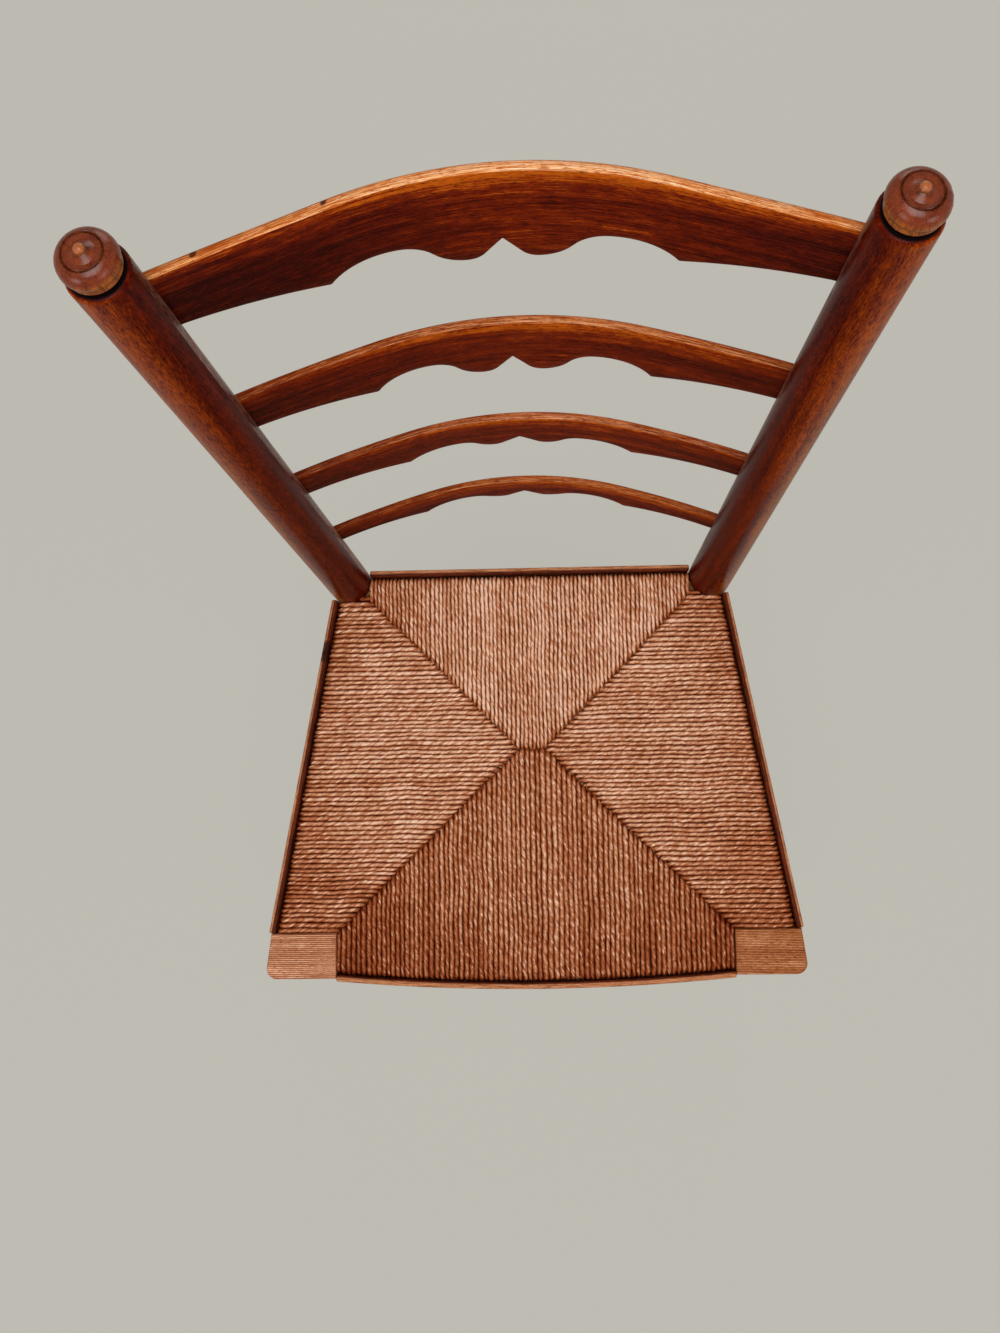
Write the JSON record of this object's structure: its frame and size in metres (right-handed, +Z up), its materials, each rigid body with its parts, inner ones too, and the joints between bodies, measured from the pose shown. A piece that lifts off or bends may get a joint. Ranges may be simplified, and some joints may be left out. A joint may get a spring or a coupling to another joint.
{
  "type": "ladderback chair",
  "caption": "tall wooden ladderback chair with turned posts and ball finials, bowed slats with shaped edges, a rush seat between corner blocks, and turned legs joined by stretchers",
  "frame": {"origin": "on the floor, under the middle of the chair's width and depth", "axes": "+Z up; the chair's front faces -Y; +X is on the right of someone who looks at its front"},
  "size_m": [0.5, 0.4851, 1.0616],
  "materials": {
    "stained_wood": "satin, dark red-brown stain",
    "block_wood": "satin, worn orange-brown",
    "pale_wood": "bare",
    "rush": "twisted rush cord",
    "stuffing": "loose dry rush",
    "steel": "dull"
  },
  "bodies": {
    "root": {"back_post_left": "stained_wood", "back_post_right": "stained_wood", "slat_1": "stained_wood", "slat_2": "stained_wood", "slat_3": "stained_wood", "slat_4": "stained_wood", "slat_pegs": "pale_wood", "corner_block_left": "block_wood", "corner_block_right": "block_wood", "front_leg_left": "stained_wood", "front_leg_right": "stained_wood", "front_seat_rail": "pale_wood", "back_seat_rail": "pale_wood", "left_seat_rail": "pale_wood", "right_seat_rail": "pale_wood", "rush_seat": "rush", "seat_stuffing": "stuffing", "edge_strip_front": "block_wood", "edge_strip_back": "block_wood", "edge_strip_left": "block_wood", "edge_strip_right": "block_wood", "strip_pins": "steel", "front_stretcher_upper": "stained_wood", "front_stretcher_lower": "stained_wood", "left_side_stretcher_upper": "stained_wood", "left_side_stretcher_lower": "stained_wood", "right_side_stretcher_upper": "stained_wood", "right_side_stretcher_lower": "stained_wood", "back_stretcher": "stained_wood"}
  },
  "joints": []
}
